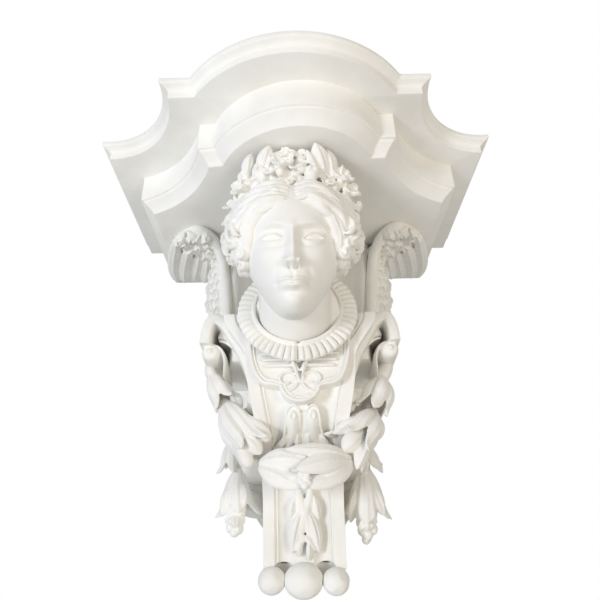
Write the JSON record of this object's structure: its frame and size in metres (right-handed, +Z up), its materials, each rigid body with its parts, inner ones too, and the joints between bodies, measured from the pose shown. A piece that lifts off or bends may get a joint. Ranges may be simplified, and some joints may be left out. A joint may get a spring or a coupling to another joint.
{
  "type": "angel figure corbel",
  "caption": "Cast plaster wall bracket: winged head with ruff and leaf garland on a scrolled console under a bowed moulded shelf.",
  "frame": {"origin": "on the flat back face, on the centre line, 178 mm below the top of the shelf", "axes": "+Z up, +Y back into the wall, the face looks along -Y, +X to the right as seen from the front"},
  "size_m": [0.4122, 0.3116, 0.434],
  "materials": {
    "plaster": "matte white plaster"
  },
  "bodies": {
    "root": {"corbel": "plaster"}
  },
  "joints": []
}
